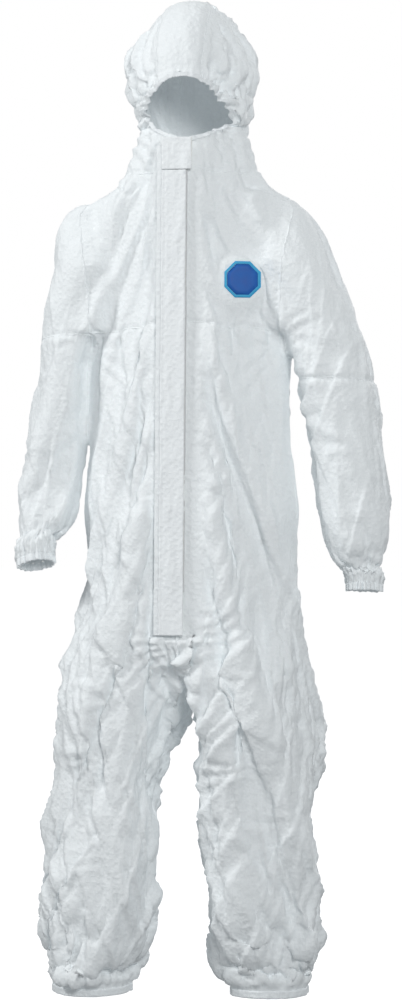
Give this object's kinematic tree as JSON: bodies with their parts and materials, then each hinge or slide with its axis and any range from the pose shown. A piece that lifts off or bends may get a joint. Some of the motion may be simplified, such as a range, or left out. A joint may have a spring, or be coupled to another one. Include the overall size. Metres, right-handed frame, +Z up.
{
  "type": "chemical protective suit",
  "caption": "Hooded one-piece disposable protective coverall with storm flap over a coil zipper, elastic hood, cuffs and ankles.",
  "frame": {"origin": "on the floor, midway between the two trouser hems, under the neck", "axes": "+Z up along the standing wearer, zipper faces -Y, the wearer's left arm is on +X"},
  "size_m": [0.693, 0.2746, 1.772],
  "materials": {
    "suit_fabric": "matte white flash-spun nonwoven, crinkled",
    "elastic": "covered latex elastic, matte",
    "zipper_tape": "woven polyester tape",
    "zipper_coil": "white nylon coil",
    "zipper_slider": "white enamelled zinc",
    "adhesive": "clear double-sided tape under a release liner",
    "badge": "printed film, mid blue",
    "badge_border": "printed film, light blue",
    "label": "satin label, blank"
  },
  "bodies": {
    "suit": {"ankle_elastic_left": "elastic", "ankle_elastic_right": "elastic", "ankle_hem_left": "suit_fabric", "ankle_hem_right": "suit_fabric", "back_leg_left": "suit_fabric", "back_leg_right": "suit_fabric", "back_yoke_left": "suit_fabric", "back_yoke_right": "suit_fabric", "badge_border": "badge_border", "chest_badge": "badge", "cuff_elastic_left": "elastic", "cuff_elastic_right": "elastic", "cuff_hem_left": "suit_fabric", "cuff_hem_right": "suit_fabric", "face_elastic_lower_left": "elastic", "face_elastic_lower_right": "elastic", "face_hem_lower_left": "suit_fabric", "face_hem_lower_right": "suit_fabric", "flap_facing": "suit_fabric", "front_leg_left": "suit_fabric", "front_leg_right": "suit_fabric", "front_yoke_left": "suit_fabric", "front_yoke_right": "suit_fabric", "hood_neck_left": "suit_fabric", "hood_neck_right": "suit_fabric", "size_label": "label", "sleeve_lower_left": "suit_fabric", "sleeve_lower_right": "suit_fabric", "sleeve_upper_left": "suit_fabric", "sleeve_upper_right": "suit_fabric", "waist_elastic": "elastic", "zipper_bottom_stop": "zipper_coil", "zipper_coil_left": "zipper_coil", "zipper_coil_right": "zipper_coil", "zipper_tape_left": "zipper_tape", "zipper_tape_right": "zipper_tape", "zipper_top_stop_left": "zipper_coil", "zipper_top_stop_right": "zipper_coil"},
    "slider": {"zipper_slider": "zipper_slider"},
    "pull_tab": {"zipper_pull_tab": "zipper_slider"},
    "front_flap": {"zip_flap": "suit_fabric", "chin_flap": "suit_fabric", "zip_flap_adhesive": "adhesive", "chin_flap_adhesive": "adhesive"},
    "hood_crown": {"hood_centre_panel": "suit_fabric", "hood_side_left": "suit_fabric", "hood_side_right": "suit_fabric", "face_hem_upper": "suit_fabric", "face_elastic_upper": "elastic"}
  },
  "joints": [
    {"name": "zipper_slide", "type": "slide", "parent": "suit", "child": "slider", "axis": [0, -0.035, -0.9994], "range_m": [0, 0.745]},
    {"name": "pull_tab_hinge", "type": "hinge", "parent": "slider", "child": "pull_tab", "pos_m": [0, -0.10216, 1.48891], "axis": [-1, 0, 0], "range_deg": [0, 85]},
    {"name": "front_flap_hinge", "type": "hinge", "parent": "suit", "child": "front_flap", "pos_m": [-0.03, -0.12027, 1.05026], "axis": [0, -0.035, -0.9994], "range_deg": [0, 170]},
    {"name": "hood_pushback", "type": "hinge", "parent": "suit", "child": "hood_crown", "pos_m": [0, 0.10849, 1.5403], "axis": [-1, 0, 0], "range_deg": [0, 30]}
  ],
  "couplings": [
    {"joint": "pull_tab_hinge", "follows": "front_flap_hinge", "ratio": 0.5}
  ]
}
